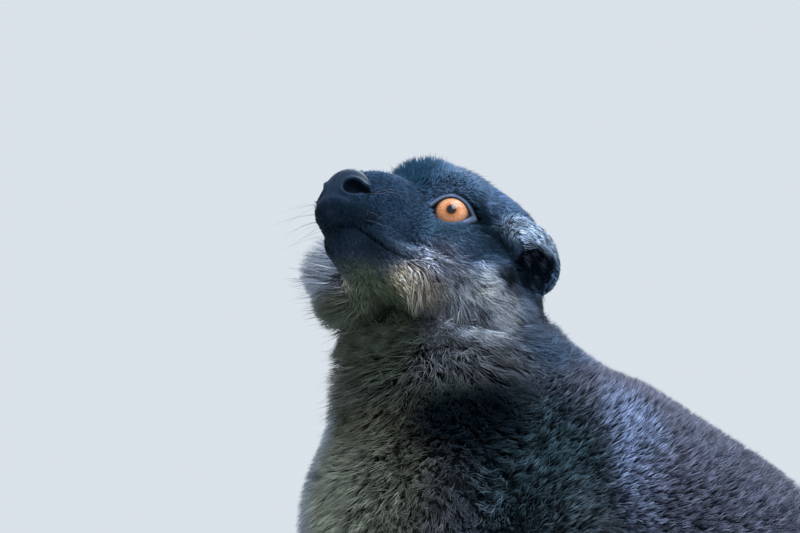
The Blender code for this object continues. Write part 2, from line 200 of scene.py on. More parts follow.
def nets(field, axes):
    """Surface nets: a point in each cell that the zero level crosses, at the mean of the crossings on
    its edges, and a four-sided face round each grid edge that the level crosses."""
    inside = field < 0
    shape = np.array(field.shape) - 1
    total, count = np.zeros((*shape, 3), np.float32), np.zeros(shape, np.float32)
    steps = np.eye(3, dtype=int)
    for d in range(3):
        u, v = steps[(d + 1) % 3], steps[(d + 2) % 3]
        for corner in (0 * u, u, v, u + v):
            low = tuple(slice(c, c + n) for c, n in zip(corner, shape))
            high = tuple(slice(c, c + n) for c, n in zip(corner + steps[d], shape))
            a, b = field[low], field[high]
            crossed = inside[low] != inside[high]
            t = np.where(crossed, a / np.where(crossed, a - b, 1), 0)
            count += crossed
            for k in range(3):
                total[..., k] += crossed * (corner[k] + (t if k == d else 0))
    live = count > 0
    number = np.full(shape, -1)
    number[live] = np.arange(live.sum())
    where = np.argwhere(live) + total[live] / count[live][:, None]
    points = np.stack([np.interp(where[:, k], np.arange(len(axes[k])), axes[k]) for k in range(3)], 1)
    faces = []
    for d in range(3):
        u, v = steps[(d + 1) % 3], steps[(d + 2) % 3]
        low = np.argwhere(np.diff(inside.astype(np.int8), axis=d) != 0)
        low = low[(low @ u > 0) & (low @ v > 0) & (low @ u < shape @ u) & (low @ v < shape @ v)]
        ring = [number[tuple((low - s).T)] for s in (u + v, v, 0 * u, u)]
        quad = np.stack(ring, 1)
        leaving = inside[tuple(low.T)]
        faces.append(np.where(leaving[:, None], quad, quad[:, ::-1]))
    return points, np.concatenate(faces)


def slope(field, p, step=0.15):
    """The field's gradient by differences across each point."""
    offsets = np.eye(3) * step
    return np.stack([field(p + o) - field(p - o) for o in offsets], 1) / (2 * step)


def settled(field, points, rounds=3):
    """Newton steps along the gradient onto the zero level."""
    for _ in range(rounds):
        g = slope(field, points)
        move = field(points)[:, None] * g / np.maximum((g**2).sum(1, keepdims=True), 0.2)
        points = points - np.clip(move, -0.5, 0.5)
    return points


def joined(faces):
    """Both ends of each edge round the faces, each edge once from either side."""
    return np.concatenate([np.stack([faces[:, k], faces[:, k - 1]], 1) for k in range(faces.shape[1])])


def evened(points, ends, share=0.5):
    """Each point moved by a share of the way to the mean of its neighbours; share may be per point."""
    both = np.concatenate([ends, ends[:, ::-1]])
    count = np.bincount(both[:, 0], minlength=len(points))
    total = [np.bincount(both[:, 0], points[both[:, 1], k], len(points)) for k in range(3)]
    return points + share * (np.stack(total, 1) / np.maximum(count, 1)[:, None] - points)


def graded(start, fine_from, fine_to, end, fine, coarse):
    """A row of places with fine steps in the middle stretch and coarse ones outside it."""
    return np.concatenate([
        np.arange(start, fine_from, coarse),
        np.arange(fine_from, fine_to, fine),
        np.arange(fine_to, end, coarse),
    ])


FINE, COARSE = 0.7, 1.6  # steps of the head's grid, and of its ends where nothing shows
half_width = np.arange(FINE / 2, 48, FINE)
head_axes = (
    graded(-90, -50, 49, 50, FINE, COARSE), np.concatenate([-half_width[::-1], half_width]),
    graded(-100, -40, 26, 30, FINE, COARSE),
)
half = np.stack(np.meshgrid(head_axes[0], half_width, head_axes[2], indexing="ij"), -1).astype(np.float32)
half_field = np.stack([head_field(block) for block in half])
head_level = np.concatenate([half_field[:, ::-1], half_field], 1)
head_points, head_faces = nets(head_level, head_axes)
head_edges = joined(head_faces)
for _ in range(3):
    head_points = settled(head_field, evened(evened(head_points, head_edges), head_edges), 2)


# ------------------------------------------------------------------ the lie of the coat
# How the hair grows, in strokes: a place, the way that the hair points there, and its kind. Between
# strokes it follows the nearest of them. The same table says how deep the skin lies in the coat.
UNDER_EYES = np.array((-187.1, 71.95, 0))  # the point below the eyes on the floor, in the model
# Each kind: depth and greatest length mm, tuft width mm, lift at root and tip in degrees, curl, lock mm
# and how far the lock's tips gather.
KINDS = {
    "velvet": (1.3, 2.6, 0.36, 24, 9, 0.08, 1.0, 0.2), "short": (5, 8, 0.5, 50, 28, 0.16, 1.7, 0.35),
    "quiff": (5.5, 15, 0.5, 70, 56, 0.3, 1.5, 0.25), "crown": (7.5, 11, 0.6, 56, 34, 0.2, 2.2, 0.4),
    "cheek": (9, 15, 0.5, 46, 26, 0.2, 2.4, 0.55), "ruff": (12, 20, 0.5, 54, 34, 0.18, 3.0, 0.6),
    "beard": (15, 34, 0.6, 76, 62, 0.2, 3.0, 0.45), "throat": (8.5, 16, 0.5, 66, 48, 0.28, 2.4, 0.45),
    "ear": (2, 4, 0.45, 34, 16, 0.12, 1.4, 0.25), "ear_edge": (2, 9, 0.45, 30, 6, 0.15, 2.0, 0.4),
    "plush": (7.5, 12, 0.5, 84, 72, 1.0, 2.3, 0.5), "back": (9, 16, 0.6, 70, 50, 0.6, 2.6, 0.5),
    "belly": (9, 16, 1.0, 56, 36, 0.3, 4.0, 0.4), "limb": (5, 10, 0.75, 50, 30, 0.25, 2.6, 0.4),
    "shank": (3, 6, 0.7, 38, 20, 0.15, 2.0, 0.3), "paw": (0.8, 2.6, 0.45, 24, 9, 0.06, 1.2, 0.2),
    "tail": (9, 15, 1.2, 60, 40, 0.3, 3.4, 0.45),
}
HEAD_STROKES = (  # ahead of, left of and above the point between the eyes
    ((40, 0, -5), (-1, 0, 0.3), "velvet"), ((27, 0, 0), (-0.85, 0, 0.55), "short"),
    ((22, 5, 2), (-0.75, 0.1, 0.6), "short"), ((16, 0, 4), (-0.7, 0, 0.7), "quiff"),
    ((30, 8, -12), (-1, 0.25, -0.1), "velvet"), ((18, 12, -10), (-1, 0.45, 0), "velvet"),
    ((36, 6, -20), (-0.8, 0.2, -0.5), "velvet"), ((24, 10, -20), (-0.95, 0.3, -0.3), "velvet"),
    ((42, 3, -20), (-0.2, 0.3, -1), "velvet"), ((8, 0, 10), (-0.4, 0, 0.9), "quiff"),
    ((5, 9, 10), (-0.5, 0.2, 0.8), "quiff"), ((-6, 0, 17), (-0.8, 0, 0.5), "quiff"),
    ((-5, 10, 15), (-1, 0.2, 0.3), "crown"), ((-25, 0, 22), (-1, 0, 0), "crown"),
    ((-25, 18, 15), (-1, 0.35, -0.2), "crown"), ((-46, 0, 8), (-0.5, 0, -0.9), "crown"),
    ((-42, 16, 4), (-0.6, 0.2, -0.8), "crown"), ((-15, 24, 2), (-1, 0.3, -0.1), "short"),
    ((10, 13, 2), (-0.8, 0.2, 0.6), "velvet"), ((6, 20, -10), (-0.8, 0.6, -0.3), "velvet"),
    ((-4, 23, -14), (-0.9, 0.4, -0.4), "short"), ((30, 5, -35), (-0.6, 0.2, -0.6), "velvet"),
    ((18, 10, -33), (-0.7, 0.4, -0.6), "velvet"), ((14, 12, -24), (-0.8, 0.5, -0.3), "velvet"),
    ((12, 0, -36), (-0.7, 0, -0.7), "short"), ((-4, 8, -40), (-0.4, 0.35, -0.85), "throat"),
    ((-12, 0, -46), (-0.2, 0, -1), "throat"), ((-26, 30, -14), (-0.6, 0.6, -0.5), "ear"),
    ((-34, 38, -14), (-0.7, 0.5, -0.5), "ear"), ((-18, 33, 0), (-0.6, 0.6, -0.6), "ear_edge"),
    ((-36, 36, -2), (-0.8, 0.2, -0.6), "ear"),
)
LEFT_STROKES = (  # the left cheek, swept back and down
    ((8, 16, -20), (-0.8, 0.5, -0.5), "short"), ((3, 19, -26), (-0.6, 0.6, -0.6), "cheek"),
    ((-10, 25, -20), (-0.75, 0.5, -0.4), "cheek"), ((-18, 28, -24), (-0.75, 0.45, -0.5), "ruff"),
    ((-8, 22, -36), (-0.5, 0.5, -0.75), "ruff"), ((6, 14, -33), (-0.35, 0.6, -0.8), "cheek"),
    ((-4, 18, -40), (-0.3, 0.6, -0.8), "ruff"), ((-17, 30, -49), (-0.6, 0.15, -0.8), "ruff"),
    ((-8, 20, -55), (-0.5, 0.1, -0.85), "ruff"), ((0, 8, -60), (-0.45, 0, -0.9), "throat"),
)
RIGHT_STROKES = (  # the right cheek, fuller and standing out
    ((14, -13, -22), (0.5, -0.8, 0.3), "cheek"), ((6, -19, -20), (0.4, -0.8, 0.4), "beard"),
    ((8, -16, -30), (0.4, -0.85, -0.1), "beard"), ((-6, -24, -22), (0, -0.95, -0.2), "beard"),
    ((-20, -28, -24), (-0.6, -0.6, -0.5), "ruff"), ((-2, -20, -38), (0.15, -0.75, -0.6), "beard"),
)
BODY_STROKES = (  # behind, right of and above the point below the eyes on the floor
    ((30, 0, 268), (0.7, 0, -0.6), "plush"), ((75, 0, 250), (0.85, 0, -0.5), "plush"),
    ((130, 0, 232), (0.8, 0, -0.6), "back"), ((185, 0, 185), (0.6, 0, -0.8), "back"),
    ((235, 0, 110), (0.25, 0, -1), "back"), ((25, 60, 205), (0.45, 0.2, -0.9), "plush"),
    ((40, 48, 240), (0.6, 0.3, -0.75), "plush"), ((80, 62, 200), (0.8, 0.1, -0.6), "plush"),
    ((120, 66, 170), (0.8, 0.1, -0.65), "back"), ((170, 62, 140), (0.65, 0, -0.8), "back"),
    ((-38, 0, 205), (0.1, 0, -1), "throat"), ((-34, 30, 212), (0.2, 0.25, -1), "throat"),
    ((-28, 0, 240), (0, 0, -1), "throat"), ((-10, 40, 240), (0.2, 0.3, -0.9), "throat"),
    ((-10, 0, 150), (0.45, 0, -0.9), "belly"), ((60, 0, 120), (0.6, 0, -0.7), "belly"),
    ((120, 20, 60), (0.6, 0, -0.7), "belly"), ((200, 0, 5), (0.8, 0, -0.1), "belly"),
    ((230, 40, 60), (0.4, 0.1, -0.9), "back"), ((12, 66, 165), (0.1, 0.1, -1), "plush"),
    ((50, 62, 125), (-0.1, 0.05, -1), "limb"), ((40, 58, 90), (-0.35, 0, -0.95), "limb"),
    ((15, 52, 50), (-0.4, 0, -0.9), "shank"), ((4, 48, 28), (-0.4, 0, -0.9), "paw"),
    ((-10, 43, 22), (-1, 0, -0.3), "paw"), ((-34, 43, 12), (-1, 0, -0.1), "paw"),
    ((-20, 22, 8), (-0.5, -0.9, 0), "paw"), ((-55, 40, 8), (-1, 0, -0.1), "paw"),
    ((160, 95, 110), (-0.3, 0.1, -0.8), "back"), ((120, 105, 120), (-0.55, 0.1, -0.6), "back"),
    ((85, 108, 115), (-0.3, 0.2, -0.9), "limb"), ((60, 92, 110), (0.2, 0, -1), "limb"),
    ((110, 100, 78), (0.6, 0, -0.75), "limb"), ((140, 88, 48), (0.65, 0, -0.75), "shank"),
    ((172, 74, 40), (0.5, 0, -0.9), "shank"), ((165, 72, 26), (0.1, 0, -1), "paw"),
    ((130, 74, 22), (-1, 0, -0.2), "paw"), ((104, 76, 16), (-1, 0, -0.1), "paw"),
    ((80, 78, 9), (-1, 0.1, -0.1), "paw"), ((122, 50, 8), (-0.7, -0.7, 0), "paw"),
)
TAIL_LINE = np.array((
    (222, 0, 50), (273, 0, 26), (320, -8, 22), (365, -30, 21), (402, -70, 21), (420, -120, 20),
    (414, -172, 20), (385, -216, 19), (340, -240, 16), (300, -248, 10),
), float)


def stroke_rows():
    """Place, direction and kind of every stroke in the model, each pair's other side added, with
    four round each stretch of the tail."""
    rows = []
    for place, way, kind in LEFT_STROKES + RIGHT_STROKES:
        rows.append((from_head(place), SKULL @ way, KINDS[kind]))
    for side in (1, -1):
        for (x, y, z), (dx, dy, dz), kind in HEAD_STROKES:
            rows.append((from_head((x, side * y, z)), SKULL @ (dx, side * dy, dz), KINDS[kind]))
        for (x, y, z), (dx, dy, dz), kind in BODY_STROKES:
            spot, way = np.array((x, side * y, z)) + UNDER_EYES, np.array((dx, side * dy, dz))
            rows.append((spot, way, KINDS[kind]))
        for a, b in zip(TAIL_LINE, TAIL_LINE[1:]):
            across = np.cross(b - a, (0, 0, 22)) / np.linalg.norm(b - a)
            for offset in (side * across, np.array((0, 0, side * 20))):
                rows.append(((a + b) / 2 + offset + UNDER_EYES, b - a, KINDS["tail"]))
    return rows


places, ways, kinds = (np.array(column, float) for column in zip(*stroke_rows()))
ways /= np.linalg.norm(ways, axis=1, keepdims=True)


def lie(points, chunk=20000):
    """Direction and kind at each point: the strokes' mean, weighed by 1 / (distance^2 + 4^2)^3."""
    table = np.concatenate([ways, kinds], 1)
    found = []
    for start in range(0, len(points), chunk):
        block = points[start : start + chunk]
        square = (block**2).sum(1)[:, None] - 2 * block @ places.T + (places**2).sum(1)
        weight = 1 / (square + 16) ** 3
        found.append(weight @ table / weight.sum(1, keepdims=True))
    found = np.concatenate(found)
    return found[:, :3], found[:, 3:]


# ------------------------------------------------------------------ the body's skin
# Neck, trunk, limbs, paws and tail in one piece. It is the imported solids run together, let in by the
# coat's depth; the part inside the head shrinks away within the head's own skin.
FLESH = [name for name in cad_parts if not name.startswith("eye_")]
NECK_PLANE = ((-32, 0, -34), (-0.62, 0, -0.78))  # a point below the head and the way down, in the head


def arrays_of(mesh):
    """Points in millimetres, and faces of a mesh whose faces all have as many corners."""
    points, corners = np.empty(len(mesh.vertices) * 3), np.empty(len(mesh.loops), np.int32)
    mesh.vertices.foreach_get("co", points)
    mesh.loops.foreach_get("vertex_index", corners)
    return points.reshape(-1, 3) / MM, corners.reshape(len(mesh.polygons), -1)


def merged(points, faces, digits=3):
    """Points that stand at one place made one, and faces that then have no area left out."""
    _, first, number = np.unique(points.round(digits), axis=0, return_index=True, return_inverse=True)
    faces = number.reshape(-1)[faces]
    return points[first], faces[(faces != np.roll(faces, 1, axis=1)).all(1)]


def largest(points, faces):
    """The biggest of the pieces that meet along edges of just two faces: each face takes its neighbours'
    least number until none changes."""
    ends = np.sort(joined(faces), axis=1)
    _, edge, count = np.unique(ends @ (len(points), 1), return_inverse=True, return_counts=True)
    order = np.argsort(edge, kind="stable")
    beside = np.tile(np.arange(len(faces)), 3)[order[count[edge[order]] == 2]].reshape(-1, 2)
    number = np.arange(len(faces))
    while True:
        least = number.copy()
        np.minimum.at(least, beside[:, 0], number[beside[:, 1]])
        np.minimum.at(least, beside[:, 1], number[beside[:, 0]])
        least = least[least]
        if (least == number).all():
            break
        number = least
    used, faces = np.unique(faces[number == np.bincount(number).argmax()], return_inverse=True)
    return points[used], faces.reshape(-1, 3)


def normals_of(points, faces):
    """Unit normals at the points, each the sum of its faces' crossed sides."""
    total = np.zeros_like(points)
    p = points[faces]
    flat = np.cross(p[:, 2] - p[:, 0], p[:, -1] - p[:, 1] if faces.shape[1] == 4 else p[:, 1] - p[:, 0])
    flat = flat if faces.shape[1] == 4 else -flat
    for k in range(faces.shape[1]):
        for d in range(3):
            total[:, d] += np.bincount(faces[:, k], flat[:, d], len(points))
    return total / np.maximum(np.linalg.norm(total, axis=1, keepdims=True), 1e-9)


def shown(name, points, faces):
    """A smooth mesh object at the origin, its points given in millimetres."""
    mesh = bpy.data.meshes.new(name)
    faces = np.asarray(faces, np.int32)
    mesh.vertices.add(len(points))
    mesh.vertices.foreach_set("co", (np.asarray(points) * MM).astype(np.float32).ravel())
    mesh.loops.add(faces.size)
    mesh.loops.foreach_set("vertex_index", faces.ravel())
    mesh.polygons.add(len(faces))
    mesh.polygons.foreach_set("loop_start", np.arange(len(faces), dtype=np.int32) * faces.shape[1])
    mesh.update(calc_edges=True)
    mesh.shade_smooth()
    made = bpy.data.objects.new(name, mesh)
    bpy.context.scene.collection.objects.link(made)
    return made


def applied(obj):
    """Applies the object's modifiers."""
    made = bpy.data.meshes.new_from_object(obj.evaluated_get(bpy.context.evaluated_depsgraph_get()))
    obj.modifiers.clear()
    obj.data = made
    return obj


def run_together(names, swell, voxel):
    """The named solids swelled until their gaps close, as one surface of even squares."""
    all_points, all_faces, count = [], [], 0
    for name in names:
        points, faces = merged(*arrays_of(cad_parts[name].data))
        all_points.append(points + swell * normals_of(points, faces))
        all_faces.append(faces + count)
        count += len(points)
    body = shown("body", np.concatenate(all_points), np.concatenate(all_faces))
    remesh = body.modifiers.new("melt", "REMESH")
    remesh.mode = "VOXEL"
    remesh.voxel_size = voxel * MM
    return applied(body)


def above_neck(points):
    """Millimetres above the plane between head and neck."""
    down = np.array(NECK_PLANE[1]) / np.linalg.norm(NECK_PLANE[1])
    return (NECK_PLANE[0] - to_head(points)) @ down


tips = run_together(FLESH, 0.35, 1.5)  # the surface at the tips of the coat
tips.hide_render = True
body_points, body_faces = arrays_of(tips.data)
body_edges = joined(body_faces)
depth = lie(body_points)[1][:, :1]
for _ in range(34):
    body_points = evened(body_points, body_edges, 0.1 + 0.7 * ramp(depth, 1, 5))
inward = normals_of(body_points, body_faces)
for _ in range(8):
    inward = evened(inward, body_edges)
in_head = above_neck(body_points)
body_points = body_points - inward * depth
for _ in range(4):
    body_points = evened(body_points, body_edges, 0.5 * ramp(depth, 1.5, 5))
core = from_head((-18, 0, -14))
body_points += 0.66 * ramp(in_head, -30, 22)[:, None] * (core - body_points)


# ------------------------------------------------------------------ one skin
# The head's skin grows out of the body's, and the join is smoothed under the ruff.
body = shown("body", body_points, body_faces)
thin = body.modifiers.new("thin", "DECIMATE")
thin.ratio = 0.55
applied(body)
skin = shown("skin", from_head(head_points), head_faces)
union = skin.modifiers.new("join", "BOOLEAN")
union.operation = "UNION"
union.object = body
union.solver = "EXACT"
skin.modifiers.new("triangles", "TRIANGULATE")
applied(skin)
bpy.data.objects.remove(body)
points, faces = largest(*merged(*arrays_of(skin.data)))
bpy.data.objects.remove(skin)
edges = joined(faces)
beside_join = crease(above_neck(points) + 8, 16)[:, None]
for _ in range(30):
    points = evened(points, edges, 0.7 * beside_join)
skin = shown("skin", points, faces)
normals = normals_of(points, faces)

# How far out the tips of the coat are from each point of the skin.
out_to = skin.copy()
out_to.data = skin.data.copy()
bpy.context.scene.collection.objects.link(out_to)
wrap = out_to.modifiers.new("out", "SHRINKWRAP")
wrap.wrap_method = "PROJECT"
wrap.target = tips
wrap.project_limit = 0.03
applied(out_to)
reach = np.linalg.norm(arrays_of(out_to.data)[0] - points, axis=1, keepdims=True)
bpy.data.objects.remove(out_to)
usual = lie(points)[1][:, :1]
reach = np.clip(np.where(reach < 0.05, usual, reach), 0.6 * usual, 2 * usual)
for _ in range(6):
    reach = evened(reach.repeat(3, 1), edges)[:, :1]


# ------------------------------------------------------------------ markings
# A blue-black face, a slate crown, grizzled cheeks with a pale ruff below the ears, a grey coat with
# olive on throat and chest, and bare dark leather on nose, lids, ears and palms. Skin and coat share them.
# Some of the colour is painted light and shade: a cool blue-green tint kept on the near side, the olive
# under the throat partly painted green light bounced up from below, light on one side of head and body, and
# shade painted in the fold under the ruff, on throat and shoulders, and in the ears' cups and the nostrils.
SLATE, BROW, INK = (0.07, 0.125, 0.21), (0.22, 0.4, 0.62), (0.0075, 0.026, 0.056)
HEAD_PATCHES = (  # in the head, for both sides: middle, half-sizes, colour, grizzle
    ((-25, 0, 20), (26, 40, 15), (0.085, 0.112, 0.155), 0.3),
    ((-12, 27, -4), (15, 14, 14), (0.0063, 0.0176, 0.0291), 0.2),
    ((12, 0, 10), (16, 15, 14), (0.0075, 0.0286, 0.0534), 0.1), ((0, 9, 11), (8, 6, 4), BROW, 0.2),
    # painted shade under the ruff, in the throat's dark olive
    ((-16, 0, -72), (60, 60, 26), (0.06, 0.07, 0.055), 0.6),
    ((-50, 0, -24), (24, 44, 26), (0.085, 0.095, 0.125), 0.4), ((26, 0, -14), (27, 17, 17), INK, 0.05),
    ((6, 21, -13), (9, 8, 5), (0.0562, 0.104, 0.165), 0.1),
    ((-12, 0, -46), (40, 44, 26), (0.175, 0.182, 0.205), 0.9),
    ((4, 21, -29), (11, 12, 11), (0.21, 0.23, 0.3), 1.2),
    ((-15, 34, -31), (14, 13, 10), (0.6, 0.69, 0.88), 1.3),
    ((-10, 26, -56), (30, 30, 11), (0.155, 0.165, 0.185), 0.6),
    ((-14, 30, -42), (13, 13, 9), (0.31, 0.345, 0.42), 1.2),
    ((3, 25, -41), (8, 8, 8), (0.163, 0.154, 0.136), 1.0),
    ((10, 14, -38), (8, 8, 7), (0.74, 0.63, 0.5), 0.9),
    ((24, 0, -31), (19, 16, 7), (0.0037, 0.0088, 0.0155), 0.05),
    ((38, 0, -24), (14, 16, 7), (0.0088, 0.0198, 0.0349), 0.0),
    # olive throat, partly painted green light bounced up from below
    ((2, -2, -50), (20, 15, 15), (0.0625, 0.0825, 0.0485), 0.4),
    ((15, 0, -44), (21, 17, 9.5), (0.075, 0.0968, 0.0563), 0.4),
    ((-29, 36, 2), (17, 14, 11), (0.33, 0.41, 0.54), 0.6),
    # painted shade at the opening of the ear's cup
    ((-18, 37, -22), (7, 9, 7), (0.005, 0.0088, 0.0136), 0.2),
)
SIDE_PATCHES = (  # in the head, on one side: the fuller ruff and throat, and a paler edge of the crown; the pale ruff and crown edge are painted light
    # painted light: the near side of the crown paler where light falls
    ((-18, 20, 12), (17, 10, 10), (0.12, 0.2, 0.33), 0.25),
    # painted light: the far ruff pale where light comes through it from behind
    ((6, -34, -24), (18, 16, 15), (0.56, 0.63, 0.78), 0.5),
    # olive on this side of the throat, partly painted green bounce light
    ((2, -22, -46), (20, 20, 15), (0.1, 0.113, 0.085), 0.5),
    ((8, -8, -46), (16, 14, 12), (0.095, 0.11, 0.075), 0.5),
    ((-2, -6, -60), (22, 22, 14), (0.09, 0.105, 0.075), 0.4),
)
ONE_SIDED = (  # in the room, on one side: light that falls on the chest, the shoulder and behind it
    ((-18, 36, 230), (26, 24, 64), (0.32, 0.36, 0.41), 0.3),
    ((62, -48, 226), (18, 22, 34), (0.22, 0.27, 0.41), 0.5),
    ((93, -60, 218), (36, 30, 34), (0.11, 0.115, 0.16), 0.5),
)
BODY_PATCHES = (  # in the room, from below the eyes, the second number to either side
    ((-28, 0, 225), (42, 46, 62), (0.125, 0.13, 0.09), 0.35),
    ((-30, 0, 206), (28, 32, 30), (0.28, 0.3, 0.24), 0.35),
    ((60, 0, 100), (90, 40, 60), (0.25, 0.209, 0.165), 0.4),
    # painted shade on the shoulders
    ((16, 64, 224), (42, 34, 48), (0.0325, 0.055, 0.0679), 0.8),
    ((50, 64, 180), (46, 24, 40), (0.0625, 0.077, 0.0921), 0.6),
    ((108, 0, 262), (52, 30, 18), (0.06, 0.055, 0.075), 0.4),
    # painted shade in the fold under the ruff
    ((-8, 40, 243), (24, 22, 20), (0.006, 0.011, 0.015), 0.3),
    # painted shade on the throat under the jaw
    ((-20, 0, 262), (24, 24, 9), (0.0375, 0.0605, 0.0407), 0.3),
    ((0, 0, 0), (60, 80, 34), (0.0375, 0.0374, 0.0407), 0.2),
    ((120, 0, 0), (64, 110, 22), (0.0375, 0.0374, 0.0407), 0.2),
    ((400, 200, 15), (130, 90, 60), (0.0875, 0.0935, 0.116), 0.4),
)
IN_LIDS, EYE_RIM = (0.095, 0.12, 0.19), (0.012, 0.012, 0.018)
# painted shade: the dark of the ears' cups and the nostrils, laid over dark skin
CUP_SHADE, NOSTRIL_SHADE = (0.003, 0.006, 0.012), (0.001, 0.0015, 0.003)
COAT, LEATHER = (0.105, 0.107, 0.145), (0.006, 0.015, 0.033)
GREYING = 0.6  # how much of the tint, painted for cool light, the far side loses
UNDER_SHADE = 0.5  # brightness of the skin under the coat


def toward(colour, tone, share):
    """The colours moved by their shares of the way to a tone."""
    return colour + share[:, None] * (np.array(tone) - colour)


def painted(colour, where, patches):
    """Each patch laid over the last with a soft edge, colour and grizzle together."""
    for middle, sizes, tone, grizzle in patches:
        cover = 1 - ramp(np.linalg.norm((where - middle) / sizes, axis=1), 0.5, 1.35)
        colour = toward(colour, (*tone, grizzle), cover)
    return colour


def greyed(colour, share):
    """Takes some of the painted blue and green of cool light out of the colours in place: c + GREYING s
    (grey - c).
    """
    grey = colour[:, :3] @ (0.3, 0.6, 0.1)
    colour[:, :3] += GREYING * share * (grey[:, None] * (1.06, 1, 0.95) - colour[:, :3])


def markings(p):
    """Colour and grizzle of the coat at each point, painted light and shade included."""
    head, room = to_head(p), p - UNDER_EYES
    beside = np.where(room[:, 1:2] < 0, (1, -1, 1), 1) * room
    coat = painted(np.tile((*COAT, 0.4), (len(p), 1)), beside, BODY_PATCHES)
    # the far side loses some of the blue-green tint painted for cool light
    greyed(coat, ramp(room[:, 1:2], 10, 60))
    coat = painted(coat, room, ONE_SIDED)
    beside = np.where(head[:, 1:2] < 0, (1, -1, 1), 1) * head
    face = painted(np.tile((*SLATE, 0.15), (len(p), 1)), beside, HEAD_PATCHES)
    # the far side of the face loses some of the blue-green tint painted for cool light
    greyed(face, ramp(-head[:, 1:2], 0, 18))
    face = painted(face, head, SIDE_PATCHES)
    # painted shade: the coat darkened in the ears' cups, to an uneven edge
    ear = (fold(head) - EAR_MIDDLE) @ EAR_AXES.T
    uneven = np.sin(0.9 * ear[:, 0] + 0.7 * ear[:, 1]) + np.sin(1.7 * ear[:, 1] - 0.8 * ear[:, 2])
    face = toward(face, (*CUP_SHADE, 0.1), 1 - ramp(ball(ear, *EAR_CUP) + 0.6 * uneven, -0.6, 1.4))
    return coat + ramp(above_neck(p), -24, -10)[:, None] * (face - coat)


def bareness(p, n):
    """1 on the nose, lids, cups of the ears, lips' edge, palms and soles, and 0 in the coat."""
    h = to_head(p)
    q = fold(h)
    nose = 1 - ramp(ball(q, (40, 0, -14.6), (8.8, 11.2, 11)), -1.2, 1.0)
    e, out, gap, _ = lids_gap(q)
    lids = (1 - ramp(gap, 1.4, 2.4)) * (out > -2) * (1 - ramp(np.linalg.norm(e, axis=1), 10.6, 12.2))
    ear = (q - EAR_MIDDLE) @ EAR_AXES.T
    cup = 0.5 - 0.5 * ramp(ball(ear, *EAR_CUP), 0.2, 0.9)
    lips = crease(h[:, 2] - mouth_height(h[:, 0]), 0.9) * ramp(h[:, 0], 9, 13)
    sole = ramp(-n[:, 2], 0.3, 0.7) * (1 - ramp(p[:, 2], 3, 7))
    return np.maximum.reduce([nose, lids, cup, lips * (np.linalg.norm(h, axis=1) < 70), sole])


def paint(obj, name, colours):
    """A colour at each point of the object's mesh."""
    layer = obj.data.color_attributes.new(name, "FLOAT_COLOR", "POINT")
    rgba = np.concatenate([colours[:, :3], np.ones((len(colours), 1))], 1)
    layer.data.foreach_set("color", rgba.astype(np.float32).ravel())


def value(obj, name, numbers):
    """A number at each point of the object's mesh."""
    layer = obj.data.attributes.new(name, "FLOAT", "POINT")
    layer.data.foreach_set("value", numbers.astype(np.float32).ravel())


def leather(p):
    """Colour of bare skin: paler on the lids, and darkest in the ears' cups and the nostrils, where shade
    is painted.
    """
    h = fold(to_head(p))
    from_eye, from_ear = (np.linalg.norm(h - middle, axis=1) for middle in (EYE_MIDDLE, EAR_MIDDLE))
    colour = np.tile(LEATHER, (len(p), 1))
    colour = toward(colour, IN_LIDS, (1 - ramp(from_eye, 12, 15)) * (h[:, 0] > -12))
    # painted shade in the ears' cups and inside the nostrils
    colour = toward(colour, CUP_SHADE, 1 - ramp(from_ear, 15, 17))
    colour = toward(colour, NOSTRIL_SHADE, 1 - ramp(nostril(h), -0.4, 0.9))
    return toward(colour, EYE_RIM, 1 - ramp(from_eye, 8.9, 9.5))


bare = bareness(points, normals)
under_coat = UNDER_SHADE * markings(points)[:, :3]
paint(skin, "coat_colour", toward(under_coat, leather(points), bare))
value(skin, "bare", bare)


def nodes_of(name):
    """A new material, its tree of nodes and its shader."""
    made = bpy.data.materials.new(name)
    made.use_nodes = True
    tree = made.node_tree
    return made, tree, tree.nodes["Principled BSDF"]


def set_up(made, **settings):
    """Each setting is one of the node's properties, or else the value of the input that it names."""
    for key, setting in settings.items():
        if hasattr(made, key):
            setattr(made, key, setting)
        else:
            made.inputs[key.replace("_", " ")].default_value = setting
    return made


def node(tree, kind, **settings):
    """A new node with its settings."""
    return set_up(tree.nodes.new(kind), **settings)


def wire(tree, *wires):
    """Links each row's node and output to its other node and input."""
    for start, output, end, entry in wires:
        tree.links.new(start.outputs[output], end.inputs[entry])


def tone_group():
    """Colour mottled by noise n from -1 to 1: colour * (1 + strength * n)."""
    group = bpy.data.node_groups.new("hair_tone", "ShaderNodeTree")
    group.interface.new_socket("Colour", in_out="INPUT", socket_type="NodeSocketColor")
    for name, start in (("Scale", 300.0), ("Strength", 0.2)):
        socket = group.interface.new_socket(name, in_out="INPUT", socket_type="NodeSocketFloat")
        socket.default_value = start
    group.interface.new_socket("Colour", in_out="OUTPUT", socket_type="NodeSocketColor")
    enter, leave = group.nodes.new("NodeGroupInput"), group.nodes.new("NodeGroupOutput")
    place = node(group, "ShaderNodeTexCoord")
    noise = node(group, "ShaderNodeTexNoise", Detail=4.0)
    spread = node(group, "ShaderNodeMapRange", To_Min=-1.0, To_Max=1.0)
    scaled = node(group, "ShaderNodeMath", operation="MULTIPLY_ADD")
    scaled.inputs[2].default_value = 1.0
    mixed = node(group, "ShaderNodeVectorMath", operation="SCALE")
    wire(
        group,
        (place, "Object", noise, "Vector"), (enter, "Scale", noise, "Scale"),
        (noise, "Fac", spread, "Value"), (spread, "Result", scaled, 0),
        (enter, "Strength", scaled, 1), (enter, "Colour", mixed, 0),
        (scaled, 0, mixed, "Scale"), (mixed, 0, leave, "Colour"),
    )
    return group


HAIR_TONE = tone_group()


